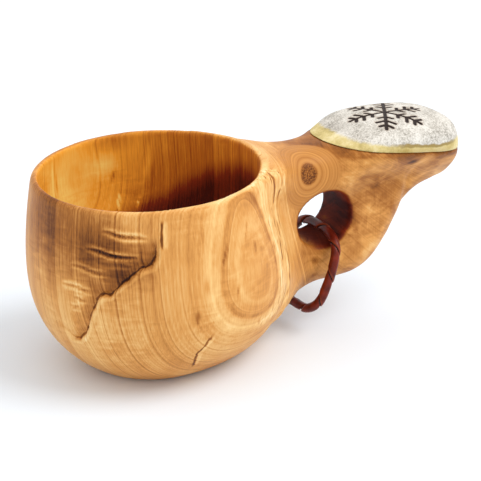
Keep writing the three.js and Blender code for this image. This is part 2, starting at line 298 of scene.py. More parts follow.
def smooth_join(a, b, reach):
    """The lower of two fields, rounded where they cross."""
    share = np.clip(0.5 + 0.5 * (b - a) / reach, 0, 1)
    return b + (a - b) * share - reach * share * (1 - share)


def smooth_cut(a, b, reach):
    """The higher of two fields, rounded where they cross."""
    return -smooth_join(-a, -b, reach)


def as_distance(field, step):
    """Scales a sampled field so that it grows by 1 per mm."""
    slope = np.gradient(field, step)
    return field / np.sqrt(sum(part**2 for part in slope) + 1e-9)


def level_height(x, y, z):
    """Height with the rim's rise towards the handle and the far side taken out."""
    return z - (RIM_RISE * x + RIM_TILT * y) * np.clip(z / RIM_HEIGHT, 0, 1.2) ** 2


def bowl_radius(z):
    """Radius of the round bowl at a height."""
    narrowing = 1 - (BASE_RADIUS / BELLY_RADIUS) ** 2
    below = np.clip((BELLY_HEIGHT - z) / BELLY_HEIGHT, 0, 1)
    above = np.clip((z - BELLY_HEIGHT) / (RIM_HEIGHT - BELLY_HEIGHT), 0, 2)
    low = BELLY_RADIUS * np.sqrt(1 - narrowing * below**BELLY_POWER)
    return low - (BELLY_RADIUS - RIM_RADIUS) * above**RIM_POWER


def bowl_outside(x, y, z):
    """Below 0 inside the bowl's outline, which is stretched towards the handle."""
    z = level_height(x, y, z)
    radius = bowl_radius(z)
    x = np.where(x > 0, x / (1 + bowl_stretch(z) / radius), x)
    return np.hypot(x, y) - radius


def bowl_hollow(x, y, z):
    """Below 0 inside the bowl's hollow: round, straight at the mouth and curved in to its floor."""
    z = level_height(x, y, z)
    below = np.clip((HOLLOW_HEIGHT - z) / (HOLLOW_HEIGHT - FLOOR_HEIGHT), 0, None)
    reach = np.hypot(x, y) / MOUTH_RADIUS
    return MOUTH_RADIUS * (np.sqrt(reach**2 + below**HOLLOW_POWER) - 1)


def neck_widening(x, z):
    """How much wider the handle is to each side where it meets the bowl."""
    reach = bowl_radius(np.minimum(z, RIM_HEIGHT)) + bowl_stretch(z)
    past = np.clip((x - reach + NECK_INSET) / NECK_REACH, 0, 1)
    return NECK_WIDENING * (1 - past) ** 2


def handle_solid(x, y, z):
    """Below 0 inside the handle with its thumb rest, in no particular unit."""
    top = top_edge(x)
    bottom = under_edge(x)
    shoulder = top - shoulder_drop(x)
    waist = fin_half_width(x) + neck_widening(x, z)
    flare = smooth_step(z, shoulder - WAIST_DROP, shoulder)
    side = waist + (shoulder_half_width(x) - waist) * flare
    over = np.clip(z - shoulder, 0, None) / (top - shoulder)
    beyond = np.clip(x - END_CENTRE, 0, None) / (HANDLE_END - END_CENTRE)
    slope = under_edge(x + 0.5) - under_edge(x - 0.5)
    under = np.clip(1 - (z - bottom) / np.sqrt(1 + slope**2) / KEEL_ROUNDING, 0, None)
    end, keel = 1 - beyond**2, 1 - under**2
    width = np.clip(end, 0, None) * np.clip(keel, 0, None)
    arch = (np.abs(y) / side) ** TOP_POWER + over**TOP_POWER * width ** (TOP_POWER / 2)
    return arch ** (2 / TOP_POWER) - width - np.minimum(end, 0) - np.minimum(keel, 0)


def joint_height(x):
    """Height of the flat joint between the handle and the antler."""
    share = (x - JOINT_START[0]) / (JOINT_END[0] - JOINT_START[0])
    return JOINT_START[1] + share * (JOINT_END[1] - JOINT_START[1])


def above_joint(x, z):
    """Distance from the joint, below 0 in the handle."""
    return (z - joint_height(x)) / math.hypot(1, JOINT_SLOPE)


def finger_hole(x, z):
    """Below 0 inside the oval finger hole."""
    across = (x - HOLE_X) / HOLE_HALF_LENGTH
    up = (z - HOLE_Z) / HOLE_HALF_HEIGHT
    return (np.sqrt(across**2 + up**2) - 1) * HOLE_HALF_HEIGHT


# ---------------------------------------------------------------- surface of a field

CELL_CORNERS = np.array([(i, j, k) for i in (0, 1) for j in (0, 1) for k in (0, 1)])
CELL_EDGES = [                   # pairs of corners that an edge of the cell joins
    (a, b) for a in range(8) for b in range(a + 1, 8)
    if np.abs(CELL_CORNERS[b] - CELL_CORNERS[a]).sum() == 1
]


def shifted(array, offset):
    """The array seen from each cell's corner at an offset of 0 or 1 along each axis."""
    return array[tuple(slice(o, n - 1 + o) for o, n in zip(offset, array.shape))]


def cell_points(field, cells):
    """A point in each cell, in grid steps: the mean of where the surface crosses its edges."""
    values = np.stack([field[tuple((cells + corner).T)] for corner in CELL_CORNERS], 1)
    total = np.zeros((len(cells), 3))
    count = np.zeros((len(cells), 1))
    for a, b in CELL_EDGES:
        crossed = ((values[:, a] < 0) != (values[:, b] < 0))[:, None]
        gap = np.where(crossed[:, 0], values[:, a] - values[:, b], 1)
        share = (values[:, a] / gap)[:, None]
        along = CELL_CORNERS[b] - CELL_CORNERS[a]
        total += np.where(crossed, CELL_CORNERS[a] + share * along, 0)
        count += crossed
    return cells + total / count


def cell_quads(inside, number, axis):
    """Quads round the grid edges along one axis that cross the surface, with their faces out."""
    unit = np.eye(3, dtype=int)
    second = unit[(axis + 1) % 3]
    third = unit[(axis + 2) % 3]
    start = np.take(inside, range(inside.shape[axis] - 1), axis)
    end = np.take(inside, range(1, inside.shape[axis]), axis)
    edges = np.argwhere(start != end)
    ring = [edges - second - third, edges - third, edges, edges - second]
    quads = np.stack([number[tuple(corner.T)] for corner in ring], 1)
    outward = start[tuple(edges.T)]
    return np.where(outward[:, None], quads, quads[:, ::-1])


def surface_nets(field, low, step):
    """Points and quads of the surface where a sampled field is 0, one point per cell."""
    inside = field < 0
    filled = sum(shifted(inside, corner).astype(np.int8) for corner in CELL_CORNERS)
    cells = np.argwhere((filled > 0) & (filled < 8))
    number = np.full(filled.shape, -1, np.int64)
    number[tuple(cells.T)] = np.arange(len(cells))
    quads = [cell_quads(inside, number, axis) for axis in range(3)]
    return low + step * cell_points(field, cells), np.concatenate(quads)


def grid_lift(x):
    """The grid's own tilt past the antler's near end, which keeps its joint inside one layer."""
    return JOINT_SLOPE * np.clip(x - JOINT_START[0], 0, None)


def grid_axes(low, high, step):
    """Places along X, Y and Z that combine into one grid, tilted by its lift."""
    across, along, up = (np.arange(a, b + step, step) for a, b in zip(low, high))
    x = across[:, None, None].astype(np.float32)
    y = along[None, :, None].astype(np.float32)
    z = up[None, None, :].astype(np.float32) + grid_lift(x)
    return x, y, z


def lifted(points):
    """Points of the untilted grid, moved to where they lie in the tilted one."""
    points = points.copy()
    points[:, 2] += grid_lift(points[:, 0])
    return points


# ---------------------------------------------------------------- cup body

CUP_STEP = 0.9
CUP_GRID = ((-50.5, -50.5, -1.7), (141, 50.5, 85))
FAR_OUTSIDE = 50                 # the field's value where nothing has been put yet
BOWL_END = 66                    # the bowl's own field is worked out up to here along X
RIM_ROUNDING = 2.2
MOUTH_ROUNDING = 1.6
NECK_ROUNDING = 3
HOLE_ROUNDING = 2.6
BASE_ROUNDING = 1.6

SCAR_RADIUS = 46                 # the bowl's radius where the bark scar lies
SCAR_LIP = [                     # angle round the bowl in degrees and height, from its top end down
    (-111, 68), (-112, 61), (-113, 57), (-118.5, 55.3), (-127, 50), (-133, 45), (-138, 44.5),
    (-140.5, 39), (-143.5, 32.5), (-146.5, 27.5), (-150.5, 23.8), (-154.5, 23.3), (-159, 26.5),
]
SCAR_STEP = 2                    # how far the wood drops at the lip
SCAR_FADE = 14                   # how far behind the lip it is back at the bowl's outline
CREVICE_DEPTH = 0.6
ROLLED_EDGE = 0.35               # how far the edge stands out before the lip
SCAR_SLITS = [                   # angle, height, half length, how dark its middle is
    (-126, 67.8, 8.5, 0.6), (-132, 60.6, 10, 0.9), (-130, 56.8, 8, 0.05), (-142, 53.8, 8, 0.3),
    (-149, 46, 6.5, 0.4), (-147.5, 41.5, 2.6, 0.3), (-150, 38, 2.2, 0.25),
]
SLIT_TILT = -0.13
SLIT_DEPTH = 1
SLIT_EDGE = 0.35                 # how far a slit's lips stand out


def around(x, y):
    """Angle round the bowl's middle in degrees: 0 at the handle, -90 in front, 180 at the far end."""
    return np.degrees(np.arctan2(y, x))


def round_bowl(angle):
    """Distance round the bowl where the scar lies, in mm, from an angle in degrees."""
    return np.radians(angle) * SCAR_RADIUS


def beside_line(u, v, line):
    """Distance from an open line in a flat map, above 0 on its right, and the share along it."""
    nearest = np.full(u.shape, 1e9)
    side = np.ones(u.shape)
    progress = np.zeros(u.shape)
    for i, ((au, av), (bu, bv)) in enumerate(zip(line, line[1:])):
        along_u, along_v = bu - au, bv - av
        share = ((u - au) * along_u + (v - av) * along_v) / (along_u**2 + along_v**2)
        share = np.clip(share, 0, 1)
        away = np.hypot(u - au - share * along_u, v - av - share * along_v)
        closer = away < nearest
        nearest = np.where(closer, away, nearest)
        side = np.where(closer, along_v * (u - au) - along_u * (v - av), side)
        progress = np.where(closer, (i + share) / (len(line) - 1), progress)
    return nearest * np.sign(side), progress


def scar_lip(x, y, z):
    """Distance inside the scar's lip, below 0 outside it, and how strong the lip is there."""
    u = round_bowl(around(x, y))
    line = [(round_bowl(angle), height) for angle, height in SCAR_LIP]
    inward, progress = beside_line(u, z, line)
    ragged = 0.45 * wavy(u, z, 0, 1.6, 5) + 0.3 * wavy(u, z, 0, 0.7, 6)
    strength = smooth_step(progress, 0, 0.1) * (1 - 0.9 * smooth_step(progress, 0.86, 1))
    return inward + ragged, strength


def scar_slits(x, y, z):
    """How deep in a slit each place is, from 0 to 1, and how near to a slit's pale lips."""
    u = round_bowl(around(x, y))
    deep = np.zeros_like(u)
    lip = np.zeros_like(u)
    for angle, height, half_length, dark in SCAR_SLITS:
        from_middle = u - round_bowl(angle)
        along = from_middle / half_length
        lens = np.sqrt(np.clip(1 - along**2, 0, 1))
        centre = height + SLIT_TILT * from_middle + 0.3 * np.sin(along * 4 + height)
        half_width = 0.2 + 0.5 * lens
        deep = np.maximum(deep, dark * lens * np.exp(-((z - centre) / half_width) ** 2))
        off_lip = np.abs(z - centre) - 0.7 - 0.6 * lens
        lip = np.maximum(lip, lens * np.exp(-((off_lip / 0.65) ** 2)) * min(0.4 + dark, 1))
    return deep, lip


def scar_depth(x, y, z):
    """How much is missing from the bowl's outside over the scar, in mm."""
    inward, strength = scar_lip(x, y, z)
    step = smooth_step(inward, -0.5, 0.6) * np.clip(1 - inward / SCAR_FADE, 0, 1) ** 2
    crevice = np.exp(-(((inward - 0.4) / 0.7) ** 2))
    rolled = np.exp(-(((inward + 1.6) / 1.3) ** 2))
    lip_depth = SCAR_STEP * step + CREVICE_DEPTH * crevice - ROLLED_EDGE * rolled
    deep, slit_lip = scar_slits(x, y, z)
    return strength * lip_depth + SLIT_DEPTH * deep - SLIT_EDGE * slit_lip


def cup_field(step):
    """Bowl and handle as one sampled field, with the hollow, the hole and the flat faces cut."""
    low, high = np.array(CUP_GRID)
    x, y, z = grid_axes(low, high, step)
    field = np.full((x.size, y.size, z.shape[2]), FAR_OUTSIDE, np.float32)

    bowl_part = x[:, 0, 0] < BOWL_END
    bx, bz = x[bowl_part], z[bowl_part]
    outside = as_distance(bowl_outside(bx, y, bz), step)
    near_scar = (bx < 0) & (y < 0) & (np.abs(outside) < 2 * SCAR_STEP)
    outside[near_scar] += scar_depth(*(part[near_scar] for part in np.broadcast_arrays(bx, y, bz)))
    rim = level_height(bx, y, bz) - RIM_HEIGHT
    field[bowl_part] = smooth_cut(outside, rim, RIM_ROUNDING)

    handle_part = x[:, 0, 0] > HANDLE_START - NECK_ROUNDING
    hx, hz = x[handle_part], z[handle_part]
    handle = as_distance(handle_solid(hx, y, hz), step)
    handle = np.maximum(handle, HANDLE_START - hx)
    field[handle_part] = smooth_join(field[handle_part], handle, NECK_ROUNDING)

    hollow = as_distance(bowl_hollow(bx, y, bz), step)
    field[bowl_part] = smooth_cut(field[bowl_part], -hollow, MOUTH_ROUNDING)
    hole = as_distance(finger_hole(x, z) + 0 * y, step)
    field = smooth_cut(field, -hole, HOLE_ROUNDING)
    field = smooth_cut(field, -z + 0 * x + 0 * y, BASE_ROUNDING)
    field = np.maximum(field, above_joint(x, z) + 0 * y)
    return field, low


def cup_body():
    """The carved burl: bowl, handle and finger hole in one piece."""
    field, low = cup_field(CUP_STEP)
    points, quads = surface_nets(field, low, CUP_STEP)
    points = lifted(points)
    return make_piece("cup_wood", points, quads, wood_fields(*points.T))


# ---------------------------------------------------------------- where the wood changes, and where light and shade are painted

SWIRL_ANGLE = math.radians(-67)      # where the growth rings lie flat on the bowl's side
RING_SPACING = 5.2
SWIRL_BAND = 46.2                    # ring depth of the pale band that draws the swirl
SWIRL_LINE = 47.5                    # ring depth of the dark line beside it
KNOT_CENTRE = (61.5, -16, 69.5)
KNOT_REACH = 13.5
KNOT_SIDE = 5                        # the knot shows on the wood that lies before this Y
OUT_OF_REACH = 30                    # a distance at which the knot and the scar leave no mark
CLEFT_PATH = [(8, -91), (18, -92), (22, -88), (27, -85), (61, -109.4)]    # height, angle
CLEFT_SPANS = [(68, 6.5), (18, 10)]  # middle height and half length of the cracks on that path
HANDLE_TONE = -0.1
HANDLE_FROM = (52, 62)               # X from which the handle's tones take over, and fully

INSIDE_SPOTS = [                     # tone, angle, height, reach in degrees and in height
    (0.22, 118, 58, 34, 30),         # painted sunlight where the wall faces the sun
    (0.22, 92, 66, 14, 9),
    (-0.12, 88, 77, 26, 7),          # painted shade under the rim
    (0.2, 66, 66, 4, 14),            # pale streaks
    (0.3, 130, 66, 1.6, 12),
    (-0.35, 126.5, 64, 1.3, 8),      # dark grooves
    (-0.3, 85, 61, 1.6, 4),
    (0.7, 78.5, 50, 1.3, 5),         # bright nicks
    (0.5, 66.5, 49, 1, 3.5),
]
BOWL_SPOTS = [                       # tone, angle, height, reach in degrees and in height
    (-0.32, -134, 60, 28, 20),       # brown bark scar
    (-0.07, -122, 56, 15, 12),       # painted shade in its pocket under the lip
    (-0.08, -150.1, 36, 8.7, 12),    # its tongue
    (-0.3, -168, 68, 42, 30),        # far end: brown wood and painted shade away from the sun
    (0.1, -152, 28, 34, 22),         # paler below the scar
    (0.08, -66, 52, 15, 34),         # pale swirl
    (-0.1, -60, 74, 17, 7),          # brown above the swirl
]
FLECKS = [                           # the same, and the slant in degrees per mm of height
    (-0.2, -90.3, 66, 0.9, 9, 0),
    (-0.26, -61, 55.5, 1.2, 4, 0),
    (-0.24, -80, 56.6, 1.1, 7, -0.44),
    (-0.24, -73.2, 42, 1.1, 3, -0.3),
    (-0.16, -89.7, 47.6, 2.6, 5, 0),
    (-0.26, -93.9, 35, 1.6, 4, 0),
    (-0.16, -66, 64, 0.9, 6, -0.3),
]
HANDLE_SPOTS = [                     # tone, place along the handle, height, reach along both
    (-0.15, 94, 57, 20, 12),         # waist: brown wood and painted shade under the overhanging top
    (-0.1, 84, 50, 9, 14),
    (-0.1, 104, 69, 12, 5),
    (0.1, 92, 68, 12, 6),            # pale wood under the antler
    (0.1, 92, 30, 16, 14),           # pale lobe
    (-0.22, 86.5, 40.5, 2.4, 1.6),   # dark fleck beside the finger hole
    (-0.3, 109, 68, 4, 2.2),         # dark and pale flecks near the handle's end
    (0.16, 115, 68, 7, 5),
    (-0.2, 67, 31, 2.2, 3),          # small curls below the finger hole
    (-0.16, 67, 24, 3, 1.8),
]


def wavy(x, y, z, scale, seed):
    """A smooth number between about -1 and 1 that wanders over some mm: four unlike waves."""
    total = np.zeros(np.broadcast(x, y, z).shape)
    for i in range(4):
        turn = seed * 1.7 + i * 2.399
        ax, ay, az = math.cos(turn), math.sin(turn), math.cos(2.1 * turn + seed)
        size = scale * (1 + 0.37 * i)
        total += np.sin((x * ax + y * ay + z * az) / size + seed * (i + 1) * 1.31)
    return total / 2.2


def inside_tone(angle, x, y, z):
    """Lighter and darker areas of the inside wall: painted sunlight on the wall that faces the sun,
    painted shade elsewhere, deep red painted shade further down.
    """
    angle = np.where(angle < -90, angle + 360, angle) + 5 * wavy(x, y, z, 9, 7)
    height = z + 3.5 * wavy(x, y, z, 7, 8)
    # Painted shade deep in the bowl, reaching highest on the side towards the sun, which its rim
    # shades.
    shade_line = 46 + 18 * np.cos(np.radians(angle + 15))
    deep = 1 - smooth_step(height, shade_line - 7, shade_line + 8)
    # Painted sunlight on the wall across from the sun; the walls it misses get painted shade.
    sunlit_wall = smooth_step(angle, 58, 84) * (1 - smooth_step(angle, 205, 240))
    return patches(angle, z, INSIDE_SPOTS) + 0.1 * sunlit_wall - 0.12 * (1 - sunlit_wall) - 0.42 * deep


def bowl_tone(angle, z):
    """Lighter and darker areas round the outside of the bowl."""
    tone = patches(angle, z, BOWL_SPOTS)
    for fleck, at, height, half_width, half_length, slant in FLECKS:
        straightened = angle - slant * (height - z)
        tone = tone + fleck * patch(straightened, z, (at, height), (half_width, half_length))
    return tone


def handle_tone(x, z):
    """Lighter and darker areas of the handle: a pale slanting stripe, and shade by the antler."""
    stripe = 0.12 * patch(z + 0.8 * x, x, (130, 84), (6, 16))
    under_antler = 0.16 * (1 - smooth_step(-above_joint(x, z), 0.5, 5))
    return HANDLE_TONE + patches(x, z, HANDLE_SPOTS) + stripe - under_antler


def outside_tone(angle, x, y, z):
    """Lighter and darker areas of the wood outside, with a painted highlight along the rim's top
    towards the sun and painted shade on it away from the sun.
    """
    angle = np.where(angle > 0, angle - 360, angle)
    on_rim = smooth_step(level_height(x, y, z), RIM_HEIGHT - 1, RIM_HEIGHT - 0.2)
    # Painted light on the rim's top on the side towards the sun, turning to painted shade away from
    # it.
    rim = on_rim * (x < HANDLE_FROM[0]) * (0.02 + 0.14 * np.cos(np.radians(angle + 60)))
    return rim + blend(bowl_tone(angle, z), handle_tone(x, z), smooth_step(x, *HANDLE_FROM))


def bowl_rings(x, y, z):
    """Depth among the bowl's growth rings, which lie nearly flat and a little wavy."""
    depth = x * math.cos(SWIRL_ANGLE) + y * math.sin(SWIRL_ANGLE) + 0.05 * z
    return depth + 1.1 * wavy(x, y, z * 0.35, 14, 1) + 0.35 * wavy(x, y, z * 0.4, 5, 2)


def handle_rings(x, y, z):
    """Depth among the handle's growth rings, which slant and wander more."""
    return 0.55 * x + 0.75 * z + 0.5 * np.abs(y) + 5 * wavy(x, y, z, 11, 3)


def knot_distance(x, y, z):
    """Wavy distance from the knot's heart."""
    kx, ky, kz = KNOT_CENTRE
    away = np.sqrt((x - kx) ** 2 + 0.6 * (y - ky) ** 2 + (0.85 * (z - kz)) ** 2)
    away = away + 0.7 * wavy(x, y, z, 6, 4)
    return np.where(y < KNOT_SIDE, away, away + OUT_OF_REACH)


def inside_hole(x, y, z):
    """1 on the finger hole's wall, where its shade is painted, less where its near end catches the
    light.
    """
    on_wall = (1 - smooth_step(finger_hole(x, z), 0.3, 1.7)) * (np.abs(y) < HOLE_SIDE)
    return on_wall * (1 - 0.85 * patch(x, z, (64, 38), (11, 7)))


def wood_fields(x, y, z):
    """Per point: growth ring depth, marks, tones with painted light and shade, and inside, for the
    birch material.
    """
    angle = around(x, y)
    depth = bowl_rings(x, y, z)
    on_handle = smooth_step(x + 0.25 * z, 62, 76)
    in_bowl = (1 - smooth_step(bowl_hollow(x, y, z), 0.1, 1)) * (z > FLOOR_HEIGHT - 2)
    near_scar = (in_bowl == 0) & (x < 20) & (y < 0)
    inward, strength = scar_lip(x, y, z)
    deep, slit_lip = scar_slits(x, y, z)
    beside_swirl = smooth_step(depth, 38.5, 41.5) * (1 - smooth_step(depth, 46, 47.6))
    at_neck = smooth_step(angle, -60, -54) * (1 - smooth_step(x, 50, 57)) * (1 - in_bowl)
    cleft_angle = np.interp(z, *zip(*CLEFT_PATH))
    on_cleft = sum(1 - smooth_step(np.abs(z - middle), 0, half) for middle, half in CLEFT_SPANS)
    return {
        "rings": blend(depth, handle_rings(x, y, z), on_handle),
        "lines": 1 - 0.5 * on_handle,
        "knot": knot_distance(x, y, z),
        "inside_bowl": in_bowl,
        "inside_hole": inside_hole(x, y, z),
        # The tone holds painted light and shade as well as the wood's own tones.
        "tone": blend(outside_tone(angle, x, y, z), inside_tone(angle, x, y, z), in_bowl),
        "lip": np.where(near_scar, inward, OUT_OF_REACH),
        "lip_strength": np.where(near_scar, strength, 0),
        "slit": np.where(near_scar, deep, 0),
        "slit_lip": np.where(near_scar, slit_lip, 0),
        "cracked": beside_swirl * at_neck * smooth_step(z, 18, 24) * (y < 0),
        "cleft": round_bowl(angle - cleft_angle),
        "cleft_reach": np.where(near_scar, on_cleft, 0),
    }


# ---------------------------------------------------------------- antler thumb rest

CAP_STEP = 0.4
CAP_GRID = ((68, -25, 78), (141, 25, 93))
JOINT_GAP = 0.12
SNOW_CENTRE = (105, -1.5)        # of the burnt ornament, along and across the handle
SNOW_REACH = 16.5
STROKE_HALF_WIDTH = 0.62
STROKE_DEPTH = 0.55
SNOW_BRANCHES = [(0.36, 0.2), (0.6, 0.26), (0.82, 0.18)]    # place on the arm, length


def ornament_distance(x, y):
    """Distance in the plan to the nearest stroke of a six-armed snowflake."""
    turn = np.arctan2(y - SNOW_CENTRE[1], x - SNOW_CENTRE[0])
    reach = np.hypot(x - SNOW_CENTRE[0], y - SNOW_CENTRE[1])
    sector = math.pi / 3
    folded = np.abs((turn + sector / 2) % sector - sector / 2)
    along = reach * np.cos(folded)
    off = reach * np.sin(folded)
    nearest = np.hypot(off, along - np.clip(along, 0, SNOW_REACH))
    branch_along, branch_off = math.cos(sector), math.sin(sector)
    for place, length in SNOW_BRANCHES:
        past = along - place * SNOW_REACH
        share = np.clip(past * branch_along + off * branch_off, 0, length * SNOW_REACH)
        nearest = np.minimum(nearest, np.hypot(past - share * branch_along, off - share * branch_off))
    return nearest


def cap_field(step):
    """The part of the handle's form above its joint, with the ornament sunk into its top."""
    low, high = np.array(CAP_GRID)
    x, y, z = grid_axes(low, high, step)
    field = as_distance(handle_solid(x, y, z), step)
    groove = np.exp(-(ornament_distance(x, y) / STROKE_HALF_WIDTH) ** 4)
    on_top = smooth_step(z, joint_height(x) + 1.5, joint_height(x) + 4)
    field = field + STROKE_DEPTH * groove * on_top
    return np.maximum(field, JOINT_GAP - above_joint(x, z) + 0 * y), low


def antler_cap():
    """The antler thumb rest, with how far each point lies above its cream rim."""
    field, low = cap_field(CAP_STEP)
    points, quads = surface_nets(field, low, CAP_STEP)
    points = lifted(points)
    x, y, z = points.T
    rim_width = 3 + 2.6 * smooth_step(x, 118, 136) + 1.2 * (1 - smooth_step(x, 74, 86))
    fields = {
        "stroke": ornament_distance(x, y),
        "above_rim": above_joint(x, z) - rim_width,
        "olive": smooth_step(x, 92, 104) * (1 - smooth_step(x, 124, 132)),
    }
    return make_piece("antler_rest", points, quads, fields)


# ---------------------------------------------------------------- node helpers


class Nodes:
    """Adds nodes to one material with short calls. A value may be a number or a socket."""

    def __init__(self, name):
        self.material = bpy.data.materials.new(name)
        self.material.use_nodes = True
        self.tree = self.material.node_tree
        self.tree.nodes.clear()

    def put(self, socket, value):
        """Sets a socket to a number, or links another socket to it."""
        if isinstance(value, bpy.types.NodeSocket):
            self.tree.links.new(value, socket)
        else:
            socket.default_value = value

    def add(self, kind, settings=None, **inputs):
        """A new shader node, with its settings and its inputs by name."""
        node = self.tree.nodes.new("ShaderNode" + kind)
        for name, value in (settings or {}).items():
            setattr(node, name, value)
        for name, value in inputs.items():
            self.put(node.inputs[name.replace("_", " ")], value)
        return node

    def math(self, operation, a, b=0.0, clamp=False):
        node = self.add("Math", {"operation": operation, "use_clamp": clamp})
        self.put(node.inputs[0], a)
        self.put(node.inputs[1], b)
        return node.outputs[0]

    def plus(self, total, part, weight):
        """The total with a part added at some weight."""
        return self.math("ADD", total, self.math("MULTIPLY", part, weight))

    def centred(self, part):
        """A value from 0 to 1, moved so that its middle is 0."""
        return self.math("SUBTRACT", part, 0.5)

    def attribute(self, name):
        return self.add("Attribute", {"attribute_name": name}).outputs["Fac"]

    def position(self):
        """Place on the object in mm."""
        coordinate = self.add("TexCoord").outputs["Object"]
        node = self.add("VectorMath", {"operation": "SCALE"})
        self.put(node.inputs[0], coordinate)
        self.put(node.inputs["Scale"], 1 / MM)
        return node.outputs[0]

    def stretch(self, vector, factors):
        """A vector times a factor along each axis."""
        node = self.add("VectorMath", {"operation": "MULTIPLY"})
        self.put(node.inputs[0], vector)
        self.put(node.inputs[1], factors)
        return node.outputs[0]

    def noise(self, vector, size, detail=2.0, roughness=0.5, distortion=0.0):
        """Noise whose lumps are about the given size in the vector's unit."""
        node = self.add(
            "TexNoise", Vector=vector, Scale=1 / size, Detail=detail,
            Roughness=roughness, Distortion=distortion,
        )
        return node.outputs["Fac"]

    def noise_line(self, value, size, detail=2.0):
        """Noise along a single number, such as the depth among the rings."""
        node = self.add(
            "TexNoise", {"noise_dimensions": "1D"}, W=value, Scale=1 / size, Detail=detail
        )
        return node.outputs["Fac"]

    def between(self, value, low, high, to_low=0.0, to_high=1.0):
        """Maps a value smoothly from one range to another, kept within it."""
        node = self.add("MapRange", {"interpolation_type": "SMOOTHSTEP"})
        for name, number in zip(
            ("Value", "From Min", "From Max", "To Min", "To Max"), (value, low, high, to_low, to_high)
        ):
            self.put(node.inputs[name], number)
        return node.outputs[0]

    def stripe(self, value, place, reach, core):
        """1 where a value is within the core of a place, falling to 0 at its reach."""
        off = self.math("ABSOLUTE", self.math("SUBTRACT", value, place))
        return self.between(off, reach, core)

    def ramp(self, value, stops):
        """A colour for a value, from (value, colour) stops."""
        node = self.add("ValToRGB", Fac=value)
        while len(node.color_ramp.elements) < len(stops):
            node.color_ramp.elements.new(0.5)
        for element, (place, color) in zip(node.color_ramp.elements, stops):
            element.position = place
            element.color = (*color, 1)
        return node.outputs["Color"]

    def mix(self, share, a, b):
        """Goes from colour a to colour b with the share."""
        node = self.add("Mix", {"data_type": "RGBA"})
        for socket, value in zip((node.inputs[0], node.inputs[6], node.inputs[7]), (share, a, b)):
            self.put(socket, (*value, 1) if isinstance(value, tuple) else value)
        return node.outputs[2]

    def finish(self, color, roughness, height=None, height_mm=0.1, shine=0.5):
        """Ends the material with its shader. Shine is the shader's specular level."""
        shader = self.add(
            "BsdfPrincipled", Base_Color=color, Roughness=roughness, Specular_IOR_Level=shine
        )
        if height is not None:
            bump = self.add("Bump", Strength=1.0, Distance=height_mm * MM, Height=height)
            self.put(shader.inputs["Normal"], bump.outputs[0])
        output = self.add("OutputMaterial")
        self.put(output.inputs["Surface"], shader.outputs[0])
        return self.material


# ---------------------------------------------------------------- birch
# A tone runs from 0, the darkest wood, to 1, the palest. Each function adds its marks to it, some of
# them painted light and shade.

BIRCH_TONE = 0.62                    # of plain wood, on the colour ramps below
BIRCH_RAMP = [
    (0.0, (0.02, 0.003, 0.001)),
    (0.2, (0.13, 0.035, 0.005)),
    (0.4, (0.37, 0.13, 0.022)),
    (0.6, (0.66, 0.3, 0.075)),
    (0.8, (0.84, 0.52, 0.2)),
    (1.0, (0.92, 0.71, 0.4)),
]
OILED_BOUNCE_LIT_RAMP = [                       # inside the bowl and the finger hole: oiled wood, redder with painted bounced light, its dark end painted shade
    (0.0, (0.05, 0.003, 0.001)),
    (0.25, (0.2, 0.022, 0.004)),
    (0.5, (0.5, 0.15, 0.01)),
    (0.75, (0.88, 0.36, 0.03)),
    (1.0, (0.98, 0.64, 0.15)),
]


def birch_grain(n, place, fibre, fine):
    """Tone of plain birch: fibres, growth rings, curls, and a mottle where the rings fade."""
    rings = n.attribute("rings")
    clearness = n.attribute("lines")
    blotch = n.noise(n.stretch(place, (1, 1, 0.6)), 16, 3, 0.5, 0.4)
    curl = n.noise(n.stretch(place, (0.3, 0.3, 1)), 2.4, 2, 0.5, 0.6)
    curl_area = n.between(n.noise(place, 22, 1), 0.4, 0.62)
    mottle = n.noise(n.stretch(place, (0.7, 0.4, 1)), 8, 3, 0.55, 1.2)
    mottle_area = n.math("SUBTRACT", 1, clearness)
    wander = n.math("MULTIPLY", n.noise_line(rings, 14, 1), 2.4)
    year = n.math("FRACT", n.math("ADD", n.math("DIVIDE", rings, RING_SPACING), wander))
    late_wood = n.math("MULTIPLY", n.between(year, 0.9, 0.985), n.between(blotch, 0.3, 0.6, 0.35, 1))
    lines = n.math("MULTIPLY", n.centred(n.noise_line(rings, 6, 2)), 0.34)
    lines = n.plus(lines, n.centred(fine), 0.24)
    lines = n.plus(lines, n.centred(fibre), 0.26)
    lines = n.plus(lines, late_wood, -0.15)
    tone = n.plus(BIRCH_TONE, lines, clearness)
    tone = n.plus(tone, n.centred(blotch), 0.3)
    tone = n.plus(tone, n.math("MULTIPLY", n.centred(curl), curl_area), 0.26)
    tone = n.plus(tone, n.math("MULTIPLY", n.centred(mottle), mottle_area), 1.1)
    return n.math("ADD", tone, n.attribute("tone"))


def birch_knot(n, place, tone):
    """Fine rings round the knot, and its dark speckled heart."""
    knot = n.attribute("knot")
    knot_tone = n.plus(0.5, n.centred(n.noise_line(knot, 1.1, 1)), 0.3)
    tone = n.mix(n.between(knot, KNOT_REACH + 1, KNOT_REACH - 1), tone, knot_tone)
    heart = n.between(knot, 4.6, 3.2)
    speckle = n.between(n.noise(place, 0.6, 3, 0.7), 0.35, 0.65, 0.1, 0.36)
    return n.plus(tone, heart, n.math("MULTIPLY", speckle, -1))


def birch_swirl(n, place, tone):
    """The pale band and the thin dark line that draw the swirl on the bowl's side."""
    rings = n.attribute("rings")
    broken = n.between(n.noise(place, 7, 2), 0.35, 0.6, 0.25, 1)
    band = n.math("MULTIPLY", n.stripe(rings, SWIRL_BAND, 1.3, 0.3), broken)
    line = n.math("MULTIPLY", n.stripe(rings, SWIRL_LINE, 0.35, 0.05), broken)
    return n.plus(n.plus(tone, band, 0.07), line, -0.1)


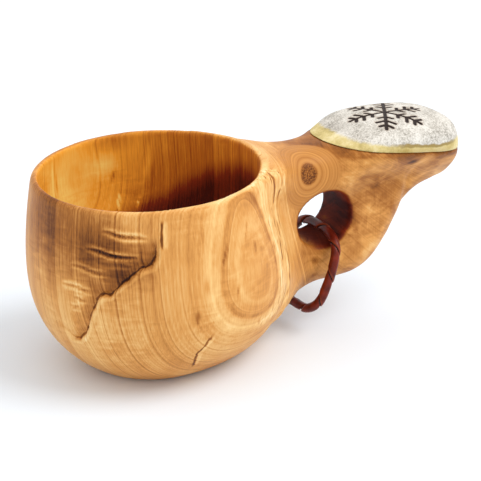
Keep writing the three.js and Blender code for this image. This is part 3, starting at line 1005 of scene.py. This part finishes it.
def birch_neck(n, place, tone, ridge):
    """The creamy ridged wood between bowl and handle, with its dark cracks."""
    cracked = n.attribute("cracked")
    crack = n.between(n.noise(n.stretch(place, (1, 1, 0.14)), 2.4, 2), 0.57, 0.63)
    tone = n.plus(tone, n.math("MULTIPLY", cracked, n.between(ridge, 0.3, 0.7)), 0.2)
    return n.plus(tone, n.math("MULTIPLY", crack, cracked), -0.34)


def birch_scar(n, place, tone):
    """The scar's dark crevice and shaded pocket, both painted shade, its rolled edge with a painted
    highlight, and its slits.
    """
    lip = n.attribute("lip")
    width = n.between(n.noise(place, 2.2, 2), 0.35, 0.65, 0.25, 0.95)
    off_crevice = n.math("ABSOLUTE", n.math("SUBTRACT", lip, 0.35))
    crevice = n.between(n.math("DIVIDE", off_crevice, width), 1, 0.25)
    pocket = n.math("MULTIPLY", n.between(lip, -0.3, 0.4), n.between(lip, 9, 0.5))
    lip_highlight = n.stripe(lip, -1.3, 1.1, 0.2)
    # Painted shade in the crevice and in the pocket, and a painted highlight on the rolled edge.
    shade = n.math("MULTIPLY", crevice, -0.24)
    shade = n.plus(shade, pocket, -0.17)
    shade = n.plus(shade, lip_highlight, 0.1)
    tone = n.plus(tone, shade, n.attribute("lip_strength"))
    tone = n.plus(tone, n.attribute("slit"), -0.3)
    return n.plus(tone, n.attribute("slit_lip"), 0.32)


def birch_clefts(n, tone, ridge):
    """The two short cracks, each a ragged dark line with a pale one beside it."""
    off_line = n.plus(n.attribute("cleft"), n.centred(ridge), 2.2)
    shade = n.math("MULTIPLY", n.stripe(off_line, 0, 0.9, 0.15), -0.4)
    shade = n.plus(shade, n.stripe(off_line, 1.6, 1.2, 0.2), 0.12)
    return n.plus(tone, shade, n.between(n.attribute("cleft_reach"), 0, 0.4))


def birch_material():
    """Oiled birch burl, redder in the bowl with painted bounced light and sunlight, darker in the
    finger hole with painted shade.
    """
    n = Nodes("birch_burl")
    place = n.position()
    hole = n.attribute("inside_hole")
    # Where the redder ramp takes over: oiled wood with painted bounced light and shade.
    oiled_bounce_lit = n.math("MAXIMUM", n.attribute("inside_bowl"), hole)
    fibre = n.noise(n.stretch(place, (1, 1, 0.07)), 0.5, 3, 0.6)
    fine = n.noise_line(n.attribute("rings"), 0.7, 2)
    ridge = n.noise(n.stretch(place, (1, 1, 0.1)), 1.2, 2)
    tone = birch_grain(n, place, fibre, fine)
    tone = birch_knot(n, place, tone)
    tone = birch_swirl(n, place, tone)
    tone = birch_neck(n, place, tone, ridge)
    tone = birch_scar(n, place, tone)
    tone = birch_clefts(n, tone, ridge)
    # Painted shade in the finger hole.
    tone = n.math("SUBTRACT", tone, n.math("MULTIPLY", hole, 0.36), clamp=True)
    color = n.mix(oiled_bounce_lit, n.ramp(tone, BIRCH_RAMP), n.ramp(tone, OILED_BOUNCE_LIT_RAMP))
    roughness = n.plus(n.between(fibre, 0.2, 0.8, 0.36, 0.5), oiled_bounce_lit, 0.25)
    return n.finish(color, roughness, n.plus(fibre, fine, 0.6), 0.06, shine=0.15)


# ---------------------------------------------------------------- other materials

ANTLER_WHITE_RAMP = [
    (0.36, (0.15, 0.13, 0.1)),
    (0.46, (0.5, 0.46, 0.4)),
    (0.56, (0.76, 0.72, 0.65)),
]
ANTLER_CREAM_RAMP = [
    (0.36, (0.42, 0.32, 0.1)),
    (0.5, (0.66, 0.53, 0.22)),
    (0.66, (0.84, 0.73, 0.43)),
]
OLIVE = (0.3, 0.2, 0.045)
PALE_OLIVE = (0.42, 0.26, 0.05)
SCORCHED = (0.35, 0.2, 0.1)
BURNT = (0.018, 0.007, 0.004)
# Colour of the painted highlight on the lace's high edge.
LACE_HIGHLIGHT = (0.36, 0.08, 0.03)


def antler_material():
    """Polished antler: porous white on top, a cream rim, olive between, and burnt strokes."""
    n = Nodes("antler")
    place = n.position()
    pores = n.noise(place, 0.8, 5, 0.85)
    clouds = n.noise(place, 7, 3, 0.6)
    white = n.ramp(n.plus(n.math("MULTIPLY", pores, 0.7), clouds, 0.3), ANTLER_WHITE_RAMP)
    cream = n.ramp(n.plus(n.math("MULTIPLY", clouds, 0.7), pores, 0.3), ANTLER_CREAM_RAMP)
    above_rim = n.plus(n.attribute("above_rim"), n.centred(n.noise(place, 3, 3)), 1.8)
    color = n.mix(n.between(above_rim, -0.7, 0.7), cream, white)

    olive_area = n.attribute("olive")
    border = n.math("MULTIPLY", n.stripe(above_rim, 0, 1.1, 0.3), olive_area)
    color = n.mix(n.math("MULTIPLY", border, 0.9), color, OLIVE)
    below = n.math("MULTIPLY", n.between(above_rim, -0.5, -1.5), olive_area)
    color = n.mix(n.math("MULTIPLY", below, 0.4), color, PALE_OLIVE)

    stroke = n.attribute("stroke")
    color = n.mix(n.math("MULTIPLY", n.between(stroke, 1.7, 0.6), 0.35), color, SCORCHED)
    color = n.mix(n.between(stroke, 0.9, 0.6), color, BURNT)
    return n.finish(color, n.between(pores, 0.3, 0.7, 0.65, 0.5), pores, 0.12, shine=0.25)


def leather_material():
    """Waxed red-brown leather, with a painted highlight along the lace's high edge."""
    n = Nodes("lace_leather")
    place = n.position()
    grain = n.noise(place, 0.35, 4, 0.6)
    # Painted highlight along the lace's high edge.
    edge_highlight = n.between(n.attribute("lace_share"), 0.86, 1.0)
    color = n.ramp(n.noise(place, 4, 3), [(0.3, (0.07, 0.005, 0.002)), (0.7, (0.19, 0.018, 0.005))])
    color = n.mix(n.math("MULTIPLY", edge_highlight, 0.5), color, LACE_HIGHLIGHT)
    return n.finish(color, n.between(grain, 0.3, 0.7, 0.26, 0.4), grain, 0.03, shine=0.22)


def thong_material():
    """Dark leather of the thong inside the lace."""
    n = Nodes("thong_leather")
    grain = n.noise(n.position(), 0.4, 4, 0.6)
    color = n.ramp(grain, [(0.3, (0.02, 0.004, 0.002)), (0.7, (0.05, 0.01, 0.006))])
    return n.finish(color, n.between(grain, 0.3, 0.7, 0.4, 0.55), grain, 0.04)


def dowel_material():
    """Plain pale wood of the hidden dowels."""
    n = Nodes("dowel_wood")
    fibre = n.noise(n.stretch(n.position(), (1, 1, 0.1)), 0.6, 3, 0.6)
    color = n.ramp(fibre, [(0.3, (0.5, 0.33, 0.16)), (0.7, (0.7, 0.5, 0.28))])
    return n.finish(color, 0.6, fibre, 0.05)


def floor_material():
    """Plain pale floor."""
    n = Nodes("floor")
    return n.finish((0.8, 0.86, 0.92, 1), 0.9)


def wear(piece, material):
    """Gives a piece its material."""
    piece.data.materials.clear()
    piece.data.materials.append(material)
    return piece


# ---------------------------------------------------------------- stage

FLOOR_SIZE = 6000
SUN_AZIMUTH = -38                    # degrees in the plan from +X
SUN_ELEVATION = 52
SUN_WIDTH = 35                       # degrees of sky that the soft sun fills
SUN_POWER = 1.5


def add_floor():
    bpy.ops.mesh.primitive_plane_add(size=FLOOR_SIZE * MM, location=(0, 0, 0))
    floor = bpy.context.object
    floor.name = "floor"
    wear(floor, floor_material())


def add_sun():
    data = bpy.data.lights.new("key", "SUN")
    data.angle = math.radians(SUN_WIDTH)
    data.energy = SUN_POWER
    light = bpy.data.objects.new("key", data)
    turn = math.radians(SUN_AZIMUTH)
    lift = math.radians(SUN_ELEVATION)
    toward = (math.cos(turn) * math.cos(lift), math.sin(turn) * math.cos(lift), math.sin(lift))
    light.rotation_euler = Vector(toward).to_track_quat("Z", "Y").to_euler()
    bpy.context.scene.collection.objects.link(light)


def add_studio():
    """Even white light from all around, shown with plain colours."""
    world = bpy.data.worlds.new("studio")
    world.use_nodes = True
    background = world.node_tree.nodes["Background"]
    background.inputs["Color"].default_value = (1, 1, 1, 1)
    background.inputs["Strength"].default_value = 1.0
    bpy.context.scene.world = world
    bpy.context.scene.view_settings.view_transform = "Standard"


# ---------------------------------------------------------------- the scene

ROUTE_POINTS = 145                   # along the ring's middle line, the first one again at the end


def add_loop():
    """The leather ring, a cord that goes back into itself, on its own body."""
    thong = wear(loop_thong(), thong_material())
    lace = wear(loop_lace(), leather_material())
    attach(thong, "loop")
    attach(lace, "loop")
    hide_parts("loop_core")
    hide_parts("loop_wrap")
    turns = np.linspace(0, 2 * np.pi, ROUTE_POINTS) + math.pi / 2
    path = loop_frame(turns)[0] * MM


def add_cup():
    """The burl and its antler, on the cup's body. The dowels keep the solids of the frame."""
    cup = wear(cup_body(), birch_material())
    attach(cup, "cup")
    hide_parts("cup_body")
    cap = wear(antler_cap(), antler_material())
    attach(cap, "cup")
    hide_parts("antler_cap")
    dowel = dowel_material()
    for name in ("antler_pin_front", "antler_pin_rear"):
        wear(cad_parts[name], dowel)


add_camera()
add_loop()
add_cup()
add_floor()
add_sun()
add_studio()
